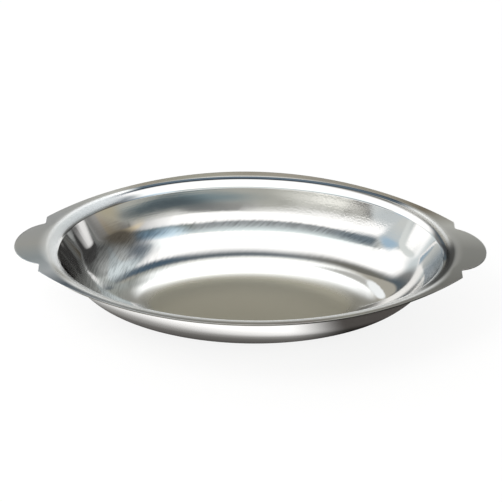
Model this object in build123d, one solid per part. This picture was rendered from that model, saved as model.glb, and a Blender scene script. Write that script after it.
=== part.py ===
"""Oval eared dish, deep drawn and trimmed from one blank of stainless steel sheet.

Frame: millimetres, +X along the length through both ears, +Y across, +Z up. The origin is the
middle of the flat underside that the dish stands on.
"""

import os
from math import atan, cos, pi, radians, sin, sqrt, tan

from build123d import *

# ---- driving dimensions (mm, degrees) ----
sheet = 0.9  # thickness of the blank, held over the whole pressing

overall_length = 253.0  # over the tips of the two ears
overall_width = 145.0  # over the flange at mid length

ear_reach = 24.0  # from the end of the mouth out to the ear tip
rim_reach = 9.5  # from the side of the mouth out to the trimmed edge
bowl_depth = 34.7  # from the mouth, where the wall meets the lip, down to the floor
side_wall_angle = 63.6  # straight wall, from the floor plane, at mid length
end_wall_angle = 58.6  # the same below an ear
floor_radius = 40.2  # curve between floor and side wall, upper surface
floor_draw_in = 0.018  # share by which the floor's oval draws in between its two axes

lip_radius = 8.1  # upper surface, from the wall over into the flange
side_rise = 11.8  # the flange climbs outward at this angle along the sides
ear_droop = 4.2  # and falls outward at this angle along the ears

lobe_length = 15.1  # from the shoulders out to the ear tip
lobe_radius = 20.0  # rounded tip of the ear, centred on the long axis
shoulder_step = 6.5  # the outline steps in by this much where the lobe starts
shoulder_fillet = 1.0
notch_fillet = 1.6  # inside corner at the root of the lobe

# ---- construction values ----
trim_margin = 6.0  # the pressing runs on past the trim line by this much before it is cut
floor_stage_count = 10  # stations up the curve between floor and wall
floor_point_count = 24  # points that each of them is drawn through
lip_stage_count = 5  # stations over the lip
lip_point_count = 36

# ---- what follows from them ----
mouth_half = (overall_length / 2 - ear_reach, overall_width / 2 - rim_reach)
mouth_z = sheet + bowl_depth
side_slope, end_slope = radians(side_wall_angle), radians(end_wall_angle)
side_climb, ear_fall = radians(side_rise), radians(-ear_droop)
# below the mouth the ends come in faster than the sides by this factor, at equal depth
end_share = tan(side_slope) / tan(end_slope)
wall_length = (bowl_depth - floor_radius * (1 - cos(side_slope))) / sin(side_slope)
floor_run = wall_length * cos(side_slope) + floor_radius * sin(side_slope)


def ring(count, half_length, half_width, end_z, side_z, draw_in=0.0):
    """Closed oval through count points, at end_z over the long axis and side_z over the short."""
    points = []
    for i in range(count):
        turn = 2 * pi * i / count
        reach = 1 - draw_in * sin(2 * turn) ** 2
        points.append(
            (
                half_length * cos(turn) * reach,
                half_width * sin(turn) * reach,
                end_z * cos(turn) ** 2 + side_z * sin(turn) ** 2,
            )
        )
    return Edge.make_spline(points, periodic=True)


def bowl_ring(count, run, z, slope, under):
    """Station of the bowl, run in from the mouth at the side, where the wall lies at slope.

    under is how far below the upper surface it lies, square to the sheet.
    """
    ends = atan(tan(slope) / end_share)
    return ring(
        count,
        mouth_half[0] - run * end_share + under * sin(ends),
        mouth_half[1] - run + under * sin(slope),
        z - under * cos(ends),
        z - under * cos(slope),
        floor_draw_in * run / floor_run,
    )


def lip_size(share, under):
    """Half length, half width and the two heights of the lip, share of the way round its bend."""
    end = end_slope + (ear_fall - end_slope) * share
    side = side_slope + (side_climb - side_slope) * share
    bend = lip_radius - under
    return (
        mouth_half[0] + lip_radius * sin(end_slope) - bend * sin(end),
        mouth_half[1] + lip_radius * sin(side_slope) - bend * sin(side),
        mouth_z - lip_radius * cos(end_slope) + bend * cos(end),
        mouth_z - lip_radius * cos(side_slope) + bend * cos(side),
    )


def form(under, margin):
    """Solid that fills everything over the surface lying under the pressing's upper one.

    It runs margin past the trim line, and as much further up.
    """
    curve = []
    for i in range(floor_stage_count + 1):
        slope = side_slope * i / floor_stage_count
        run = floor_run - floor_radius * sin(slope)
        z = sheet + floor_radius * (1 - cos(slope))
        curve.append(bowl_ring(floor_point_count, run, z, slope, under))
    mouth = bowl_ring(lip_point_count, 0, mouth_z, side_slope, under)
    lip = [mouth]
    for i in range(1, lip_stage_count + 1):
        lip.append(ring(lip_point_count, *lip_size(i / lip_stage_count, under)))

    length, width, end_z, side_z = lip_size(1, under)
    far_length = overall_length / 2 + margin
    far_width = overall_width / 2 + margin
    brink = ring(
        lip_point_count,
        far_length,
        far_width,
        end_z + (far_length - length) * tan(ear_fall),
        side_z + (far_width - width) * tan(side_climb),
    )
    roof_z = mouth_z + 2 * lip_radius + margin
    roof = ring(lip_point_count, far_length, far_width, roof_z, roof_z)

    faces = [Face(Wire([curve[0]])), Face(Wire([roof]))]
    faces += Shell.make_loft([Wire([edge]) for edge in curve]).faces()
    faces.append(Face.make_surface_from_curves(curve[-1], mouth))
    faces += Shell.make_loft([Wire([edge]) for edge in lip]).faces()
    faces.append(Face.make_surface_from_curves(lip[-1], brink))
    faces.append(Face.make_surface_from_curves(brink, roof))
    return Solid(Shell(faces))


def trim_outline():
    """Plan of the finished edge: two long arcs, four shoulders and two rounded lobes."""
    tip = overall_length / 2
    shoulder_x = tip - lobe_length
    root_y = sqrt(lobe_radius**2 - (lobe_radius - lobe_length) ** 2)
    shoulder_y = root_y + shoulder_step
    with BuildSketch() as plan:
        with BuildLine():
            ThreePointArc(
                (-shoulder_x, shoulder_y), (0, overall_width / 2), (shoulder_x, shoulder_y)
            )
            Line((shoulder_x, shoulder_y), (shoulder_x, root_y))
            ThreePointArc((shoulder_x, root_y), (tip, 0), (shoulder_x, -root_y))
            Line((shoulder_x, -root_y), (shoulder_x, -shoulder_y))
            ThreePointArc(
                (shoulder_x, -shoulder_y), (0, -overall_width / 2), (-shoulder_x, -shoulder_y)
            )
            Line((-shoulder_x, -shoulder_y), (-shoulder_x, -root_y))
            ThreePointArc((-shoulder_x, -root_y), (-tip, 0), (-shoulder_x, root_y))
            Line((-shoulder_x, root_y), (-shoulder_x, shoulder_y))
        make_face()
        half_way = (root_y + shoulder_y) / 2
        fillet([v for v in plan.vertices() if abs(v.Y) > half_way], shoulder_fillet)
        roots = [v for v in plan.vertices() if abs(abs(v.Y) - root_y) < shoulder_step / 4]
        fillet(roots, notch_fillet)
    return plan.sketch


def pressing():
    """The drawn sheet, cut to its outline: one solid of even thickness."""
    drawn = form(sheet, trim_margin) - form(0, trim_margin + 2 * sheet)
    tool_z = -trim_margin
    tool_height = mouth_z + 3 * lip_radius + 3 * trim_margin
    tool = extrude(trim_outline().moved(Location((0, 0, tool_z))), tool_height)
    return tool & drawn


dish = pressing()
os.makedirs("parts", exist_ok=True)
export_step(dish, "parts/dish.step")
size = dish.bounding_box().size
print(f"dish: {size.X:.1f} x {size.Y:.1f} x {size.Z:.1f} mm, {dish.volume:.0f} mm3")
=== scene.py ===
import math

import bpy
import numpy as np
from mathutils import Matrix, Vector


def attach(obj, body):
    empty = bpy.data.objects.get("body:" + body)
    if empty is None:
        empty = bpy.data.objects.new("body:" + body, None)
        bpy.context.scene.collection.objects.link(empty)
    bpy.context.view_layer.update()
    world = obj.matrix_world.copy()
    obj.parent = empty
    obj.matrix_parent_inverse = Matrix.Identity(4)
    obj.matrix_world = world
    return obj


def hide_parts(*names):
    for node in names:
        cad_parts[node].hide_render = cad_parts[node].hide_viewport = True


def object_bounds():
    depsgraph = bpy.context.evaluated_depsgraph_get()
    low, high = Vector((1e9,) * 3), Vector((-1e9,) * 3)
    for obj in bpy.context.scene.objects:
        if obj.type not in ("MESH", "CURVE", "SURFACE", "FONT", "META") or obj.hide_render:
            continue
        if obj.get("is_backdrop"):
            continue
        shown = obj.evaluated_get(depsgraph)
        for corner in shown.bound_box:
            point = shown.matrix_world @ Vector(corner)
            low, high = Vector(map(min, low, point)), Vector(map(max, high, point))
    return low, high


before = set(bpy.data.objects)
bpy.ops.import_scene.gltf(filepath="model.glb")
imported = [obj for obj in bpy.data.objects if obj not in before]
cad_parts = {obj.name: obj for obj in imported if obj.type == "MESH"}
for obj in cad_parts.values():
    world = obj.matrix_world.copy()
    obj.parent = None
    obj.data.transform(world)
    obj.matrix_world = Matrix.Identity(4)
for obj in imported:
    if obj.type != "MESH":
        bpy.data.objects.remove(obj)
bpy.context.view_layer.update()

mm = 0.001


def hexToLinear(text, strength=1.0):
    # sRGB hex to the linear colour that the shaders take
    channels = [int(text[i : i + 2], 16) / 255 for i in (1, 3, 5)]
    linear = [c / 12.92 if c <= 0.04045 else ((c + 0.055) / 1.055) ** 2.4 for c in channels]
    return (*(c * strength for c in linear), 1.0)


def addNode(tree, kind, inputs=None, stops=None, **settings):
    # One node with its settings. An input is a value, a socket to link from, or a node, which
    # stands for its first output in use. Inputs 6 and 7 of a Mix are its two colours. stops
    # are a ramp's colours by their place from 0 to 1.
    node = tree.nodes.new("ShaderNode" + kind)
    for name, value in settings.items():
        setattr(node, name, value)
    for name, value in (inputs or {}).items():
        if isinstance(value, bpy.types.Node):
            value = next(output for output in value.outputs if output.enabled)
        if isinstance(value, bpy.types.NodeSocket):
            tree.links.new(value, node.inputs[name])
        else:
            node.inputs[name].default_value = value
    if stops:
        elements = node.color_ramp.elements
        while len(elements) < len(stops):
            elements.new(0.5)
        for element, (position, colour) in zip(elements, sorted(stops.items())):
            element.position = position
            element.color = hexToLinear(colour)
    return node


# millimetres, the same sizes as the solid that it stands for
dish = {
    "sheet": 0.9,
    "overallLength": 253.0,
    "overallWidth": 145.0,
    "earReach": 24.0,
    "rimReach": 9.5,
    "bowlDepth": 34.7,
    "sideWallAngle": 63.6,
    "endWallAngle": 58.6,
    "floorRadius": 40.2,
    "floorDrawIn": 0.018,
    "lipRadius": 8.1,
    "sideRise": 11.8,
    "earDroop": 4.2,
    "lobeLength": 15.1,
    "lobeRadius": 20.0,
    "shoulderStep": 6.5,
    "shoulderFillet": 1.0,
    "notchFillet": 1.6,
    "trimMargin": 6.0,
    "edgeBreak": 0.16,  # the cut edge is tumbled, not left sharp
    # rows of faces in each zone from the middle out, and points along each part of the outline
    "rows": {"floor": 9, "curve": 36, "wall": 14, "lipStart": 7, "lip": 18, "flange": 9},
    "points": {"lobe": 34, "notch": 9, "step": 6, "shoulder": 8, "side": 64},
    "crowding": {"floor": 0.9, "flange": 1.3},  # powers that draw their rows to the outside
    "tightShare": 0.12,  # of the lip, where it bends hardest and the rows lie closest
    "edgeShading": 60,  # how far the broad faces rule the shading at the cut
    # The tools leave the wall very slightly hollow and turn the lip over a tight corner first
    # and an easier bend after. Each is how steeply the sheet sinks away from the plain form,
    # against the distance in mm over the curve's last part, and against the share of the wall
    # and of the lip.
    "springBack": {
        "curve": ((-8.0, 0.0), (0.0, 0.021)),
        "wall": ((0.0, 0.021), (1.0, -0.021)),
        "lip": ((0.0, -0.021), (0.06, 0.16), (0.7, -0.145), (1.0, 0.0)),
    },
}

sideSlope = math.radians(dish["sideWallAngle"])
endSlope = math.radians(dish["endWallAngle"])
sideClimb = math.radians(dish["sideRise"])
earFall = -math.radians(dish["earDroop"])
mouthHalf = (
    dish["overallLength"] / 2 - dish["earReach"],
    dish["overallWidth"] / 2 - dish["rimReach"],
)
mouthZ = dish["sheet"] + dish["bowlDepth"]
endShare = math.tan(sideSlope) / math.tan(endSlope)
wallLength = (
    dish["bowlDepth"] - dish["floorRadius"] * (1 - math.cos(sideSlope))
) / math.sin(sideSlope)
floorRun = wallLength * math.cos(sideSlope) + dish["floorRadius"] * math.sin(sideSlope)
farLength = dish["overallLength"] / 2 + dish["trimMargin"]
farWidth = dish["overallWidth"] / 2 + dish["trimMargin"]


def ovalPoint(turn, halfLength, halfWidth, endZ, sideZ, drawIn=0.0):
    # points of an oval that passes endZ over the long axis and sideZ over the short one
    reach = 1 - drawIn * np.sin(2 * turn) ** 2
    c, s = np.cos(turn), np.sin(turn)
    return np.stack(
        [halfLength * c * reach, halfWidth * s * reach, endZ * c**2 + sideZ * s**2], -1
    )


def bowlPoint(turn, run, z, slope, under):
    # points of the bowl, run in from the mouth at the side, where it lies at slope, and under
    # the upper surface by so much, square to the sheet
    ends = math.atan(math.tan(slope) / endShare)
    return ovalPoint(
        turn,
        mouthHalf[0] - run * endShare + under * math.sin(ends),
        mouthHalf[1] - run + under * math.sin(slope),
        z - under * math.cos(ends),
        z - under * math.cos(slope),
        dish["floorDrawIn"] * run / floorRun,
    )


def lipSize(share, under):
    # the oval's two halves and two heights, share of the way over the lip
    end = endSlope + (earFall - endSlope) * share
    side = sideSlope + (sideClimb - sideSlope) * share
    radius, bend = dish["lipRadius"], dish["lipRadius"] - under
    return (
        mouthHalf[0] + radius * math.sin(endSlope) - bend * math.sin(end),
        mouthHalf[1] + radius * math.sin(sideSlope) - bend * math.sin(side),
        mouthZ - radius * math.cos(endSlope) + bend * math.cos(end),
        mouthZ - radius * math.cos(sideSlope) + bend * math.cos(side),
    )


def sinkBy(part, share, length):
    # how far the sheet has sunk where it is share of the way over length mm of that part,
    # added up in 60 steps
    places, steepness = zip(*dish["springBack"][part])
    steps = np.linspace(places[0], share, 60)
    heights = np.interp(steps, places, steepness)
    return float(np.sum((heights[1:] + heights[:-1]) / 2 * np.diff(steps))) * length


def filletCorner(before, corner, after, radius, count):
    # arc that rounds the corner between the directions to two points near it, as count points
    back = (before - corner) / np.linalg.norm(before - corner)
    ahead = (after - corner) / np.linalg.norm(after - corner)
    half = math.acos(np.clip(np.dot(back, ahead), -1, 1)) / 2
    inward = (back + ahead) / np.linalg.norm(back + ahead)
    middle = corner + inward * radius / math.sin(half)
    start = corner + back * radius / math.tan(half) - middle
    end = corner + ahead * radius / math.tan(half) - middle
    first = math.atan2(start[1], start[0])
    sweep = (math.atan2(end[1], end[0]) - first + math.pi) % (2 * math.pi) - math.pi
    angles = first + sweep * np.linspace(0, 1, count)
    return middle + radius * np.stack([np.cos(angles), np.sin(angles)], -1)


def trimOutline():
    # one quarter of the plan, from the tip of the lobe round to the middle of the side,
    # then mirrored into a closed loop
    points, near = dish["points"], 0.6  # mm from a corner, where its arcs' directions are taken
    tip, halfWidth = dish["overallLength"] / 2, dish["overallWidth"] / 2
    shoulderX = tip - dish["lobeLength"]
    rootY = math.sqrt(dish["lobeRadius"] ** 2 - (dish["lobeRadius"] - dish["lobeLength"]) ** 2)
    shoulderY = rootY + dish["shoulderStep"]
    sideRadius = (shoulderX**2 + (halfWidth - shoulderY) ** 2) / (2 * (halfWidth - shoulderY))
    sideMiddle = halfWidth - sideRadius
    lobeMiddle = tip - dish["lobeRadius"]

    def lobeArc(y):
        return np.array([lobeMiddle + math.sqrt(dish["lobeRadius"] ** 2 - y**2), y])

    def sideArc(x):
        return np.array([x, sideMiddle + math.sqrt(sideRadius**2 - x**2)])

    notch, shoulder = np.array([shoulderX, rootY]), np.array([shoulderX, shoulderY])
    notchArc = filletCorner(
        lobeArc(rootY - near), notch, shoulder, dish["notchFillet"], points["notch"]
    )
    shoulderArc = filletCorner(
        notch, shoulder, sideArc(shoulderX - near), dish["shoulderFillet"], points["shoulder"]
    )
    quarter = [lobeArc(y) for y in np.linspace(0, notchArc[0][1], points["lobe"])[:-1]]
    quarter += list(notchArc)
    step = (shoulderArc[0] - notchArc[-1]) / points["step"]
    quarter += [notchArc[-1] + step * i for i in range(1, points["step"])]
    quarter += list(shoulderArc)
    start = math.acos(shoulderArc[-1][0] / sideRadius)
    for angle in np.linspace(start, math.pi / 2, points["side"])[1:]:
        quarter.append(
            np.array([sideRadius * math.cos(angle), sideMiddle + sideRadius * math.sin(angle)])
        )
    quarter = np.array(quarter)
    back = np.concatenate([quarter, quarter[-2::-1] * (-1, 1)])
    front = back[-2:0:-1] * (1, -1)
    return np.concatenate([back, front])


def flangeAt(outline, under):
    # turn and share along the flange at which each point of a plan loop lies, by halving
    length, width = lipSize(1, under)[:2]
    low, high = np.zeros(len(outline)), np.ones(len(outline))
    for _ in range(60):
        share = (low + high) / 2
        a, b = length + (farLength - length) * share, width + (farWidth - width) * share
        inside = (outline[:, 0] / a) ** 2 + (outline[:, 1] / b) ** 2 > 1
        low, high = np.where(inside, share, low), np.where(inside, high, share)
    turn = np.arctan2(outline[:, 1] / b, outline[:, 0] / a)
    return turn, share


def flangePoint(turn, share, under):
    # points of the flange, share of the way from the lip out to the edge of the pressing
    length, width, endZ, sideZ = lipSize(1, under)
    inner = ovalPoint(turn, length, width, endZ, sideZ)
    outer = ovalPoint(
        turn,
        farLength,
        farWidth,
        endZ + (farLength - length) * math.tan(earFall),
        sideZ + (farWidth - width) * math.tan(sideClimb),
    )
    return inner + (outer - inner) * share[:, None]


def inset(loop, distance):
    # moves a closed plan loop inward along its own normals
    ahead, behind = np.roll(loop, -1, 0), np.roll(loop, 1, 0)
    along = ahead - behind
    normal = np.stack([-along[:, 1], along[:, 0]], -1)
    normal /= np.linalg.norm(normal, axis=1)[:, None]
    return loop + normal * distance


def skin(under, outline):
    # rings of one face of the sheet from the floor's middle to its edge, with the zone of each,
    # which is 0 on the floor, up to 1 on the curve, 1 on the wall, and then up to 2 on the lip
    # and up to 3 on the flange
    turn, share = flangeAt(outline, under)
    rows, rings, zones = dish["rows"], [], []
    floorRim = bowlPoint(turn, floorRun, dish["sheet"], 0.0, under)
    for i in range(1, rows["floor"]):
        part = (i / rows["floor"]) ** dish["crowding"]["floor"]
        rings.append(floorRim * (part, part, 1))
        zones.append(0.0)
    for i in range(rows["curve"] + 1):
        slope = sideSlope * i / rows["curve"]
        run = floorRun - dish["floorRadius"] * math.sin(slope)
        z = dish["sheet"] + dish["floorRadius"] * (1 - math.cos(slope))
        toFoot = (slope - sideSlope) * dish["floorRadius"]
        toFoot = max(dish["springBack"]["curve"][0][0], toFoot)
        rings.append(bowlPoint(turn, run, z, slope, under + sinkBy("curve", toFoot, 1.0)))
        zones.append(i / rows["curve"])
    footRun = floorRun - dish["floorRadius"] * math.sin(sideSlope)
    footZ = dish["sheet"] + dish["floorRadius"] * (1 - math.cos(sideSlope))
    sunk = sinkBy("curve", 0.0, 1.0)
    for i in range(1, rows["wall"] + 1):
        part = i / rows["wall"]
        depth = under + sunk + sinkBy("wall", part, wallLength)
        run, z = footRun * (1 - part), footZ + (mouthZ - footZ) * part
        rings.append(bowlPoint(turn, run, z, sideSlope, depth))
        zones.append(1.0)
    lipLength = dish["lipRadius"] * (sideSlope - sideClimb)
    tight, eased = dish["tightShare"], 1 - dish["tightShare"]
    lipShares = [tight * i / rows["lipStart"] for i in range(1, rows["lipStart"] + 1)]
    lipShares += [tight + eased * i / rows["lip"] for i in range(1, rows["lip"] + 1)]
    for part in lipShares:
        depth = under + sunk + sinkBy("lip", part, lipLength)
        rings.append(ovalPoint(turn, *lipSize(part, depth)))
        zones.append(1 + part)
    astray = sunk + sinkBy("lip", 1.0, lipLength)
    print("lip comes back to the plain form within", round(astray, 3), "mm")
    for i in range(1, rows["flange"] + 1):
        part = 1 - (1 - i / rows["flange"]) ** dish["crowding"]["flange"]
        rings.append(flangePoint(turn, share * part, under))
        zones.append(2 + i / rows["flange"])
    return rings, zones, turn


def pressedDish():
    # the two faces of the sheet, with the cut edge between them and its corners broken
    outline = trimOutline()
    inner = inset(outline, dish["edgeBreak"])
    top, zones, turn = skin(0.0, inner)
    bottom = skin(dish["sheet"], inner)[0]
    upperCut = np.column_stack([outline, top[-1][:, 2] - dish["edgeBreak"]])
    lowerCut = np.column_stack([outline, bottom[-1][:, 2] + dish["edgeBreak"]])

    rings = [*top, upperCut, lowerCut, *bottom[::-1]]
    ringZones = [*zones, 4.0, 4.0, *zones[::-1]]
    upperSide = [*[1.0] * len(top), 0.5, 0.5, *[0.0] * len(bottom)]
    count, cutStep = len(outline), dish["sheet"] / 3
    middle = [ring[count // 4] for ring in top]
    steps = [0.0, *np.linalg.norm(np.diff(middle, axis=0), axis=1)]
    along = np.cumsum(steps) + np.linalg.norm(middle[0][:2])
    reach = [*along, along[-1] + cutStep, along[-1] + 2 * cutStep, *along[::-1]]
    points = np.concatenate([[[0, 0, dish["sheet"]]], *rings, [[0, 0, 0]]]) * mm
    faces = [(0, 1 + i, 1 + (i + 1) % count) for i in range(count)]
    for r in range(len(rings) - 1):
        a, b = 1 + r * count, 1 + (r + 1) * count
        for i in range(count):
            j = (i + 1) % count
            faces.append((a + i, b + i, b + j, a + j))
    last, end = 1 + (len(rings) - 1) * count, len(points) - 1
    faces += [(last + i, end, last + (i + 1) % count) for i in range(count)]

    mesh = bpy.data.meshes.new("pressedDish")
    mesh.from_pydata(points.tolist(), [], faces)
    mesh.shade_smooth()
    perRing = {
        "zone": [0.0, *np.repeat(ringZones, count), 0.0],
        "upper": [1.0, *np.repeat(upperSide, count), 0.0],
    }
    for name, values in perRing.items():
        mesh.attributes.new(name, "FLOAT", "POINT").data.foreach_set(
            "value", np.array(values, np.float32)
        )
    # which way round the oval each point lies, and how far out along the sheet in mm
    layout = [(0, 0, 0)]
    for r in range(len(rings)):
        layout += list(zip(np.cos(turn), np.sin(turn), [reach[r]] * count))
    layout.append((0, 0, 0))
    mesh.attributes.new("layout", "FLOAT_VECTOR", "POINT").data.foreach_set(
        "vector", np.array(layout, np.float32).ravel()
    )
    mesh.update()
    piece = bpy.data.objects.new("pressed_dish", mesh)
    bpy.context.scene.collection.objects.link(piece)
    return piece


pressed = pressedDish()
weighted = pressed.modifiers.new("edgeShading", "WEIGHTED_NORMAL")
weighted.weight = dish["edgeShading"]
weighted.keep_sharp = False
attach(pressed, "root")
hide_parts("dish")
print("dish pressed,", len(pressed.data.polygons), "faces")


# A limit bounds a patch of the steel: a measure, its value where the patch is out and where it
# is fully in. zone counts outward over the sheet: up to 1 the curve, 1 the wall, 1 to 2 the
# lip, 2 to 3 the flange, 4 the cut edge. side is 1 on the upper face and 0 below. x, y and
# reach, which is x without its sign, are mm from the middle.
upperFace = ("side", 0.6, 0.9)
onFloor = (("zone", 0.24, 0.03), upperFace)
onWall = (("zone", 0.93, 1.0), ("zone", 1.04, 1.0))
onCut = ("zone", 3.2, 3.8)
inBowl = (("zone", 0.2, 0.5), ("zone", 0.99, 0.9))
leftPart = ("x", -45, -68)
atRightEnd = (("x", 78, 90), ("y", 12, -2), upperFace)
slanted = {"cell": (8.0, 8.0, 0.85), "tilt": 38}  # the hand brush, drawn across the wall

# Drawn 18/8 stainless steel. The bowl and lip are buffed nearly to a mirror and the floor and
# flange are left satin from the belt, so sharp bright bands stand beside soft grey planes.
steelFinish = {
    "colour": "#e2e1df",
    "roughness": (0.025, 0.07),  # mottled between the two, as the buff worked longer or shorter
    "mottle": {"size": 18.0, "from": 0.35, "to": 0.65},
    "outsideRoughness": 0.12,
    # along the front the buff ran on over the first part of the flange, by this share of it
    "overrun": {"share": 0.2, "from": -20.0, "to": -40.0},
    "patches": {
        # the floor is left satin from the belt; its darker, warmer colour is a painted
        # reflection of the taupe it mirrors
        "floor": {"limits": onFloor, "colour": "#b6b1a2", "roughness": 0.3},
        "leftBowl": {"limits": (*inBowl, leftPart), "roughness": 0.11},
        "rightBowl": {"limits": (*inBowl, ("x", 70, 90)), "roughness": 0.12},
        # painted shade: the right end wall is coloured darker and bluer here, and left a little
        # satin
        "rightEndPaintedShade": {
            "limits": (("zone", 0.95, 0.99), ("zone", 1.2, 1.05), *atRightEnd),
            "colour": "#8d969e",
            "roughness": 0.2,
        },
        "rightLip": {"limits": (("zone", 1.3, 1.6), ("x", 70, 90)), "roughness": 0.28},
        # the buff passed the lip by along the front and near the left ear, which leaves it
        # satin; the white colour there is a painted highlight
        "frontLipSatinAndHighlight": {
            "limits": (("zone", 1.1, 1.25), ("y", -20, -40), upperFace),
            "colour": "#ffffff",
            "roughness": 0.45,
        },
        # painted highlight: white colour brightens the satin lip near the left ear
        "leftLipSatinAndHighlight": {
            "limits": (("zone", 1.05, 1.3), ("x", -60, -85), ("y", -35, -15), upperFace),
            "colour": "#ffffff",
            "roughness": 0.46,
        },
        # Painted reflection: the satin flange is left with the roughness of the belt, and the
        # light and dark that it mirrors round the oval is painted into its colour as a tone at
        # each place. 0 and 1 are the left ear, 0.25 the middle of the front, 0.5 the right ear
        # and 0.75 the middle of the back.
        "flange": {
            "limits": (("flangeZone", 1.78, 2.25),),
            "paintedReflectionTones": {
                0: "#d6d6d5",
                0.03: "#bcc4ca",
                0.06: "#dadfe6",
                0.09: "#747f8b",
                0.14: "#c4c7cc",
                0.24: "#bcb8b3",
                0.29: "#b1aba8",
                0.32: "#c2c1b9",
                0.36: "#adaaa6",
                0.42: "#908f8b",
                0.5: "#b0afac",
                0.55: "#eae9e5",
                0.59: "#a09687",
                0.63: "#c9c1b3",
                0.69: "#979187",
                0.75: "#847e73",
                0.81: "#9c998d",
                0.84: "#b9b1a4",
                0.87: "#f6f6f3",
                0.94: "#e3e5eb",
                1: "#d6d6d5",
            },
            "roughness": 0.28,
        },
        # painted shade: a dark crescent coloured onto the right lip near its end
        "rightLipPaintedShade": {
            "limits": (("zone", 1.3, 1.5), ("zone", 2.1, 1.85), ("y", -45, -30), *atRightEnd),
            "colour": "#6b6c6d",
        },
        # painted shade: a dark line coloured into the crease where the back lip meets the
        # flange
        "backCreasePaintedShade": {
            "limits": (
                ("zone", 1.68, 1.76),
                ("zone", 2.02, 1.94),
                ("x", -74, -60),
                ("x", 95, 80),
                ("y", 0, 30),
                upperFace,
            ),
            "colour": "#444e57",
        },
        "cutEdge": {"limits": (onCut,), "colour": "#eceae6", "roughness": 0.35},
        "sideCutEdge": {"limits": (onCut, ("reach", 100, 85)), "colour": "#74726c"},
    },
    # Lines from the brush and the belt. cell is the size in mm of the noise along each axis,
    # depth is in mm, and dulls is what the deepest line still throws back. The real lines are
    # 0.1 mm apart: these are drawn as coarse as they need to show.
    "brushing": {
        "wave": {"cell": (30.0, 30.0, 30.0), "detail": 1.0, "limits": (), "depth": 0.014},
        "curveLines": {
            **slanted,
            "limits": (("zone", 0.12, 0.3), ("zone", 1.0, 0.93)),
            "depth": 0.018,
        },
        "wallLines": {**slanted, "limits": onWall, "depth": 0.0015},
        "darkCurveLines": {
            **slanted,
            "limits": (
                ("zone", 0.79, 0.84),
                ("zone", 0.93, 0.9),
                ("x", -68, -45),
                ("x", 80, 70),
                upperFace,
            ),
            "dulls": 0.74,
        },
        "darkLeftLines": {**slanted, "limits": (*inBowl, leftPart, upperFace), "dulls": 0.74},
        # round the oval, from the spinning brush: two shares of its half width, then mm
        "rings": {
            "cell": (0.2, 0.2, 0.9),
            "roundTheOval": True,
            "limits": (("zone", 0.7, 0.98),),
            "depth": 0.0025,
        },
        "rightWallGrit": {
            "cell": (1.1, 1.1, 1.1),
            "limits": (*onWall, ("x", 0, 30)),
            "depth": 0.008,
        },
        "floorGrain": {
            "cell": (9.0, 0.7, 10.0),
            "detail": 3.0,
            "limits": onFloor,
            "depth": 0.012,
        },
    },
    "deepestLines": (0.6, 0.3),  # of the noise, from where they start to where they are full
    "fineShare": 0.6,  # how strongly the finer noise rides on the coarser
}

steel = bpy.data.materials.new("buffedStainless")
steel.use_nodes = True
tree = steel.node_tree
tree.nodes.clear()
inPiece = addNode(
    tree,
    "VectorMath",
    {0: addNode(tree, "TexCoord").outputs["Object"], 1: (1 / mm, 1 / mm, 1 / mm)},
    operation="MULTIPLY",
)
spot = addNode(tree, "SeparateXYZ", {0: inPiece}).outputs
layout = addNode(tree, "Attribute", attribute_name="layout").outputs["Vector"]
turns = addNode(tree, "SeparateXYZ", {0: layout}).outputs
measures = {
    "zone": addNode(tree, "Attribute", attribute_name="zone").outputs["Fac"],
    "side": addNode(tree, "Attribute", attribute_name="upper").outputs["Fac"],
    "x": spot["X"],
    "y": spot["Y"],
    "reach": addNode(tree, "Math", {0: spot["X"]}, operation="ABSOLUTE"),
    "turn": addNode(tree, "Math", {0: turns["Y"], 1: turns["X"]}, operation="ARCTAN2"),
}
overrun, mottle = steelFinish["overrun"], steelFinish["mottle"]
inFront = addNode(
    tree,
    "MapRange",
    {"Value": spot["Y"], "From Min": overrun["from"], "From Max": overrun["to"]},
    interpolation_type="SMOOTHSTEP",
)
measures["flangeZone"] = addNode(
    tree,
    "Math",
    {0: inFront, 1: -overrun["share"], 2: measures["zone"]},
    operation="MULTIPLY_ADD",
)


def within(limits):
    # 1 inside all the limits of a patch, 0 outside
    mask = 1.0
    for measure, out, fullyIn in limits:
        edge = addNode(
            tree,
            "MapRange",
            {"Value": measures[measure], "From Min": out, "From Max": fullyIn},
            interpolation_type="SMOOTHSTEP",
        )
        mask = addNode(tree, "Math", {0: edge, 1: mask}, operation="MULTIPLY")
    return mask


clouds = addNode(
    tree,
    "TexNoise",
    {
        "Vector": inPiece,
        "Scale": 1 / mottle["size"],
        "Detail": 3.0,
        "Roughness": steelFinish["fineShare"],
    },
)
shortest, longest = steelFinish["roughness"]
buffed = addNode(
    tree,
    "MapRange",
    {
        "Value": clouds,
        "From Min": mottle["from"],
        "From Max": mottle["to"],
        "To Min": shortest,
        "To Max": longest,
    },
)
roughness = addNode(
    tree,
    "Mix",
    {"Factor": measures["side"], "A": steelFinish["outsideRoughness"], "B": buffed},
)
colour = hexToLinear(steelFinish["colour"])
for patch in steelFinish["patches"].values():
    mask = within(patch["limits"])
    shade = None
    if "paintedReflectionTones" in patch:
        along = addNode(
            tree,
            "MapRange",
            {"Value": measures["turn"], "From Min": -math.pi, "From Max": math.pi},
        )
        shade = addNode(tree, "ValToRGB", {"Fac": along}, stops=patch["paintedReflectionTones"])
    elif "colour" in patch:
        shade = hexToLinear(patch["colour"])
    if shade:
        colour = addNode(tree, "Mix", {"Factor": mask, 6: colour, 7: shade}, data_type="RGBA")
    if "roughness" in patch:
        roughness = addNode(
            tree, "Mix", {"Factor": mask, "A": roughness, "B": patch["roughness"]}
        )

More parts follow.
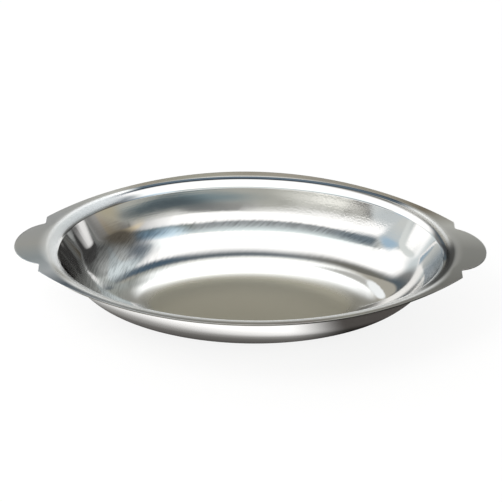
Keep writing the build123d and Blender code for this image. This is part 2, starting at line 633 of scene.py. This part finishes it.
height = 0.0
for lines in steelFinish["brushing"].values():
    across = layout if "roundTheOval" in lines else inPiece
    if "tilt" in lines:
        across = addNode(
            tree,
            "Mapping",
            {"Vector": across, "Rotation": (0, math.radians(lines["tilt"]), 0)},
        )
    cells = addNode(
        tree,
        "VectorMath",
        {0: across, 1: [1 / size for size in lines["cell"]]},
        operation="MULTIPLY",
    )
    pattern = addNode(
        tree,
        "TexNoise",
        {
            "Vector": cells,
            "Scale": 1.0,
            "Detail": lines.get("detail", 2.0),
            "Roughness": steelFinish["fineShare"],
        },
    )
    mask = within(lines["limits"])
    if "depth" in lines:
        seen = addNode(tree, "Math", {0: pattern, 1: mask}, operation="MULTIPLY")
        height = addNode(
            tree, "Math", {0: seen, 1: lines["depth"], 2: height}, operation="MULTIPLY_ADD"
        )
    if "dulls" in lines:
        start, full = steelFinish["deepestLines"]
        line = addNode(
            tree,
            "MapRange",
            {"Value": pattern, "From Min": start, "From Max": full},
            interpolation_type="SMOOTHSTEP",
        )
        dulled = addNode(tree, "Math", {0: line, 1: mask}, operation="MULTIPLY")
        colour = addNode(
            tree,
            "Mix",
            {"Factor": dulled, 6: colour, 7: (*[lines["dulls"]] * 3, 1.0)},
            data_type="RGBA",
            blend_type="MULTIPLY",
        )
bump = addNode(tree, "Bump", {"Strength": 1.0, "Distance": mm, "Height": height})
shader = addNode(
    tree,
    "BsdfPrincipled",
    {"Base Color": colour, "Metallic": 1.0, "Roughness": roughness, "Normal": bump},
)
addNode(tree, "OutputMaterial", {"Surface": shader})
pressed.data.materials.append(steel)
print("steel finish made,", len(tree.nodes), "nodes")

# What the metal mirrors: a white tent hung with soft cards, laid out by direction. across is
# how far a direction leans towards +X, from -1 to 1, and around turns about the X axis in
# degrees: 0 at the front horizon, 90 overhead, 180 at the back horizon. Each card covers those
# before it: shape, across, around, half width, half height, turn, softness, bow, colour,
# strength. The level shapes follow the long sides, which climb towards the two ends.
studio = {
    "plainLight": 0.9,
    "whiteTent": 1.4,
    "climb": (0.05, 0.14),  # with the square and the fourth power of across, in 100 degrees
    "cards": {
        # the wall's dark bar and how it fades upward and to the right
        "bar": ("levelSquare", -0.18, 41, 0.61, 8, -2, 0.2, 0.8, "#a8aeb1", 1),
        "barShade": ("levelRound", -0.7, 44, 0.24, 9, 6, 0.7, -0.2, "#7a8791", 1),
        "barFade": ("levelRound", -0.03, 57.5, 0.45, 12.5, 1, 0.8, 0.1, "#f0fdff", 1.5),
        "barFadeRight": ("levelRound", 0.19, 53, 0.4, 3, 4, 0.6, 0, "#fff7f3", 1.65),
        "barLeft": ("levelSquare", -0.91, 38.5, 0.11, 16.5, -19, 0.3, 0.6, "#dce0df", 1),
        "barLeftTop": ("round", -0.87, 56, 0.06, 14.5, 8, 0.6, 0.3, "#b3cde2", 1),
        "barRight": ("levelSquare", 0.54, 41.5, 0.2, 6, 1, 0.3, 0, "#788279", 1),
        "barRightGlow": ("levelRound", 0.49, 46.5, 0.12, 8.5, 2, 0.7, 0.1, "#ddf2ff", 1.25),
        "barRightDark": ("levelRound", 0.7, 46.5, 0.22, 9.5, 6, 0.7, -0.2, "#86a4bb", 1),
        # the end walls, left and right
        "leftHaze": ("round", -0.95, 96, 0.02, 48, 0, 0.2, 0.2, "#ecf1f0", 1),
        "sideGrey": ("square", 0.88, 133, 0.41, 60, 17, 0.02, -0.6, "#dfe3e2", 1),
        "sideTop": ("round", 0.8, 169, 0.11, 40, -4, 0.4, -0.9, "#737574", 1),
        "sideLight": ("round", 0.57, 115, 0.18, 23, 16, 0.02, -2, "#e8f3f7", 1),
        "sideDull": ("square", 1.17, 165, 0.3, 120, -8, 1, -1.1, "#000000", 1),
        "sideDark": ("square", 1.17, 87, 0.26, 50, 6, 0.02, 1.6, "#404040", 1),
        "blot": ("round", 0.59, 73, 0.09, 17, 22, 0.8, 0, "#727c86", 1),
        "leftTop": ("round", -0.76, 183, 0.2, 50, 3, 0.2, -0.9, "#e1eaed", 1),
        "leftTopDark": ("round", -0.68, 146, 0.17, 19, 29, 0.5, -0.4, "#878888", 1),
        # the dark ring with a beige one inside it, round the white middle overhead
        "ringOuter": ("round", -0.06, 139, 0.63, 57, -13, 0.12, -0.1, "#5a656d", 1),
        "ringBrown": ("round", -0.4, 103, 0.25, 13, -40, 0.5, 0, "#7a7973", 1),
        "ringBlue": ("round", 0.38, 99, 0.17, 6, 44, 0.5, 0.3, "#516576", 1),
        "ringBeige": ("round", -0.06, 127, 0.54, 36, -3, 0.04, 0.1, "#b8b5ab", 1),
        "ringBeigeRight": ("round", 0.33, 142, 0.14, 44, -13, 0.03, -0.3, "#a3a7a2", 1),
        "inWhite": ("round", -0.04, 123, 0.33, 30, 4, 0.25, -0.2, "#fbfeff", 2),
        "inBrown": ("round", -0.33, 110, 0.17, 5, -55, 0.5, 1.5, "#c9c9c6", 1),
        "inBlue": ("round", 0.44, 130, 0.23, 6, 27, 1, -0.5, "#a9afad", 1),
        "inPatch": ("round", -0.39, 131, 0.06, 18, -8, 0.2, -0.1, "#f9fdff", 1.2),
        "taupe": ("round", -0.02, 185, 0.31, 51, 5, 0.3, -0.8, "#9a9a95", 1),
        "taupeLeft": ("round", -0.12, 153, 0.22, 28, 8, 0.6, 1.4, "#9b9a92", 1),
        "taupeRight": ("round", 0.1, 153, 0.07, 22, -5, 0.5, -0.5, "#a3a39e", 1),
        "spot": ("round", 0.68, 165, 0.08, 18, -4, 0.02, -0.4, "#ffffff", 1),
        "sideSliver": ("round", 1.01, 77, 0.045, 37, 0, 0.3, 1.4, "#ffffff", 1),
        "warm": ("levelRound", 0.8, 32, 0.13, 5.5, 9, 0.4, -1, "#eddfc4", 1),
        "lowDark": ("round", 0.82, 49, 0.15, 17, 0, 0.6, 0.7, "#5d584f", 1),
        # low in front, all that the back wall and the back lip throw forward
        "frontBand": ("levelSquare", 0.04, -30, 1.6, 51.5, 0.3, 0.02, 0.14, "#babbb4", 1),
        "frontLeft": ("levelRound", -0.75, 20.2, 0.47, 2.1, -16, 0.35, 0.2, "#d5dcdf", 1),
        "frontLeftDark": ("levelRound", -0.65, 19.5, 0.08, 1.6, -1.5, 0.5, 0.9, "#200c14", 1),
        "frontBlue": ("levelRound", 0.37, 19.6, 0.37, 0.9, 1, 0.5, 0.4, "#83959b", 1),
        "frontDull": ("levelRound", 0.19, 21.1, 0.24, 0.8, 1, 0.25, 0.1, "#9e9f9d", 1),
        "frontSlate": ("levelRound", 0.53, 20.5, 0.29, 1.2, 1.7, 0.7, 0.8, "#566268", 1),
        "frontBrown": ("levelRound", 0.92, 20.3, 0.1, 6, 1, 0.5, -0.1, "#bbb49e", 1),
        "frontPale": ("levelRound", -0.46, 19.9, 0.22, 0.8, -1.5, 0.9, -0.3, "#fffff9", 1.2),
        # the turn of the lip over the back
        "lipLight": ("round", 0.5, 166, 0.33, 12, 0, 0.5, 0, "#f2f5f5", 1.1),
        "lipDark": ("round", -0.42, 160, 0.26, 8, 8, 0.4, 0, "#4a4d50", 1),
    },
}
world = bpy.data.worlds.new("studio")
bpy.context.scene.world = world
world.use_nodes = True
tree = world.node_tree
tree.nodes.clear()
axes = addNode(tree, "SeparateXYZ", {0: addNode(tree, "TexCoord").outputs["Generated"]}).outputs
frontward = addNode(tree, "Math", {0: axes["Y"], 1: -1.0}, operation="MULTIPLY")
angle = addNode(tree, "Math", {0: axes["Z"], 1: frontward}, operation="ARCTAN2")
around = addNode(tree, "Math", {0: angle, 1: math.degrees(1) / 100}, operation="MULTIPLY")
outward = addNode(tree, "CombineXYZ", {"X": axes["X"], "Y": around})
squared = addNode(tree, "Math", {0: axes["X"], 1: axes["X"]}, operation="MULTIPLY")
steeper = addNode(
    tree,
    "Math",
    {0: squared, 1: studio["climb"][1], 2: studio["climb"][0]},
    operation="MULTIPLY_ADD",
)
climb = addNode(tree, "Math", {0: steeper, 1: squared}, operation="MULTIPLY")
level = addNode(tree, "Math", {0: around, 1: climb}, operation="SUBTRACT")
levelled = addNode(tree, "CombineXYZ", {"X": axes["X"], "Y": level})
mirrored = (*[studio["whiteTent"]] * 3, 1.0)
for card in studio["cards"].values():
    shape, across, above, halfWidth, halfHeight, turn, soft, bow, tint, strength = card
    local = addNode(
        tree,
        "Mapping",
        {
            "Vector": levelled if shape.startswith("level") else outward,
            "Location": (across, above / 100, 0),
            "Rotation": (0, 0, math.radians(turn)),
            "Scale": (halfWidth, halfHeight / 100, 1),
        },
        vector_type="TEXTURE",
    )
    onCard = addNode(tree, "SeparateXYZ", {0: local}).outputs
    squared = addNode(tree, "Math", {0: onCard["X"], 1: onCard["X"]}, operation="MULTIPLY")
    bowed = addNode(
        tree, "Math", {0: squared, 1: -bow, 2: onCard["Y"]}, operation="MULTIPLY_ADD"
    )
    if shape in ("round", "levelRound"):
        flat = addNode(tree, "CombineXYZ", {"X": onCard["X"], "Y": bowed})
        reach = addNode(tree, "VectorMath", {0: flat}, operation="LENGTH")
    else:
        wide = addNode(tree, "Math", {0: onCard["X"]}, operation="ABSOLUTE")
        high = addNode(tree, "Math", {0: bowed}, operation="ABSOLUTE")
        reach = addNode(tree, "Math", {0: wide, 1: high}, operation="MAXIMUM")
    covered = addNode(
        tree,
        "MapRange",
        {"Value": reach, "From Min": 1 + soft, "From Max": 1 - soft},
        interpolation_type="SMOOTHSTEP",
    )
    mirrored = addNode(
        tree,
        "Mix",
        {"Factor": covered, 6: mirrored, 7: hexToLinear(tint, strength)},
        data_type="RGBA",
    )
white = (1, 1, 1, 1)
ray = addNode(tree, "LightPath").outputs
seenInMetal = addNode(tree, "Background", {"Color": mirrored})
plainLight = addNode(tree, "Background", {"Color": white, "Strength": studio["plainLight"]})
whiteBehind = addNode(tree, "Background", {"Color": white})
lit = addNode(tree, "MixShader", {0: ray["Is Glossy Ray"], 1: plainLight, 2: seenInMetal})
shown = addNode(tree, "MixShader", {0: ray["Is Camera Ray"], 1: lit, 2: whiteBehind})
addNode(tree, "OutputWorld", {"Surface": shown})
print("studio hung with", len(studio["cards"]), "cards")

# Plain pale floor: a board in matt white paint, flat and even, which takes only a soft shadow
# from the dish. In the metal it reads white beyond the dish, with painted shade grey under it
# and duller on the right.
floorBoard = {
    "half": 1.6,  # metres, as all the sizes here
    "drop": 0.0002,
    "colour": "#f6f6f4",
    "shadowDepth": 0.17,
    "lift": 1.02,
    "underDish": (0.087, 0.057),  # half length and half width of the shade under the dish
    "underShift": 0.008,
    # from the middle of that shade at 0 to its rim at 1
    "underTones": {
        0.3: "#42403c",
        0.75: "#5a5856",
        0.88: "#757371",
        0.96: "#a3a2a0",
        1.0: "#d6d5d4",
    },
    "rim": (0.98, 1.06),  # where it gives way to the open floor
    "open": 1.4,
    # painted shade: what the metal sees of the floor is darker on the right
    "rightShadeColour": "#464341",
    "right": (0.02, 0.058),
}
mesh = bpy.data.meshes.new("floorBoard")
half, z = floorBoard["half"], -floorBoard["drop"]
corners = [(-half, -half, z), (half, -half, z), (half, half, z), (-half, half, z)]
mesh.from_pydata(corners, [], [(0, 1, 2, 3)])
board = bpy.data.objects.new("floor_board", mesh)
bpy.context.scene.collection.objects.link(board)
paint = bpy.data.materials.new("mattWhitePaint")
paint.use_nodes = True
tree = paint.node_tree
tree.nodes.clear()
matt = addNode(tree, "BsdfDiffuse", {"Color": hexToLinear(floorBoard["colour"])})
lifted = addNode(tree, "Emission", {"Strength": floorBoard["lift"]})
painted = addNode(tree, "MixShader", {0: floorBoard["shadowDepth"], 1: lifted, 2: matt})
onBoard = addNode(tree, "NewGeometry").outputs["Position"]
halfLength, halfWidth = floorBoard["underDish"]
spread = addNode(
    tree,
    "VectorMath",
    {
        0: onBoard,
        1: (1 / halfLength, 1 / halfWidth, 0),
        2: (floorBoard["underShift"] / halfLength, 0, 0),
    },
    operation="MULTIPLY_ADD",
)
reach = addNode(tree, "VectorMath", {0: spread}, operation="LENGTH")
shade = addNode(tree, "ValToRGB", {"Fac": reach}, stops=floorBoard["underTones"])
rim, past = floorBoard["rim"]
inOpen = addNode(tree, "MapRange", {"Value": reach, "From Min": rim, "From Max": past})
shade = addNode(
    tree,
    "Mix",
    {"Factor": inOpen, 6: shade, 7: (*[floorBoard["open"]] * 3, 1.0)},
    data_type="RGBA",
)
sideways = addNode(tree, "SeparateXYZ", {0: onBoard}).outputs["X"]
start, full = floorBoard["right"]
onRight = addNode(
    tree,
    "MapRange",
    {"Value": sideways, "From Min": start, "From Max": full},
    interpolation_type="SMOOTHSTEP",
)
shade = addNode(
    tree,
    "Mix",
    {"Factor": onRight, 6: shade, 7: hexToLinear(floorBoard["rightShadeColour"])},
    data_type="RGBA",
    blend_type="MULTIPLY",
)
inMetal = addNode(tree, "Emission", {"Color": shade})
glossy = addNode(tree, "LightPath").outputs["Is Glossy Ray"]
seen = addNode(tree, "MixShader", {0: glossy, 1: painted, 2: inMetal})
addNode(tree, "OutputMaterial", {"Surface": seen})
mesh.materials.append(paint)
board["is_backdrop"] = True
print("floor laid")

softBox = {"place": (-0.55, -0.25, 0.9), "size": 0.5, "watts": 3.0}  # metres
lamp = bpy.data.lights.new("softBox", "AREA")
lamp.shape, lamp.size, lamp.energy = "DISK", softBox["size"], softBox["watts"]
key = bpy.data.objects.new("softBox", lamp)
key.location = softBox["place"]
key.rotation_euler = (-Vector(softBox["place"])).to_track_quat("-Z", "Y").to_euler()
key.visible_glossy = False
bpy.context.scene.collection.objects.link(key)

camera = {
    "distance": 1000.0,  # mm from the middle of the mouth
    "elevation": 34.56,
    "turn": -0.6,
    "roll": 1.09,
    "aim": (0.27, 0.4, 35.6),
    "lens": 133.6,
    "sensor": 36.0,
    "clip": (0.05, 20.0),  # m
}
view = bpy.data.cameras.new("view")
view.lens = camera["lens"]
view.sensor_width = camera["sensor"]
view.clip_start, view.clip_end = camera["clip"]
viewpoint = bpy.data.objects.new("view", view)
bpy.context.scene.collection.objects.link(viewpoint)
turn, rise, roll = (math.radians(camera[k]) for k in ("turn", "elevation", "roll"))
back = Vector(
    (math.sin(turn) * math.cos(rise), -math.cos(turn) * math.cos(rise), math.sin(rise))
)
levelRight = (-back).cross(Vector((0, 0, 1))).normalized()
levelUp = levelRight.cross(-back).normalized()
right = levelRight * math.cos(roll) + levelUp * math.sin(roll)
up = -levelRight * math.sin(roll) + levelUp * math.cos(roll)
stand = Matrix((right, up, back)).transposed().to_4x4()
stand.translation = (Vector(camera["aim"]) + back * camera["distance"]) * mm
viewpoint.matrix_world = stand
bpy.context.scene.camera = viewpoint
bpy.context.scene.view_settings.view_transform = "Standard"
print("lamp and camera placed")

low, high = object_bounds()
print("visual box", [round(c * 1000, 2) for c in high - low], "mm")
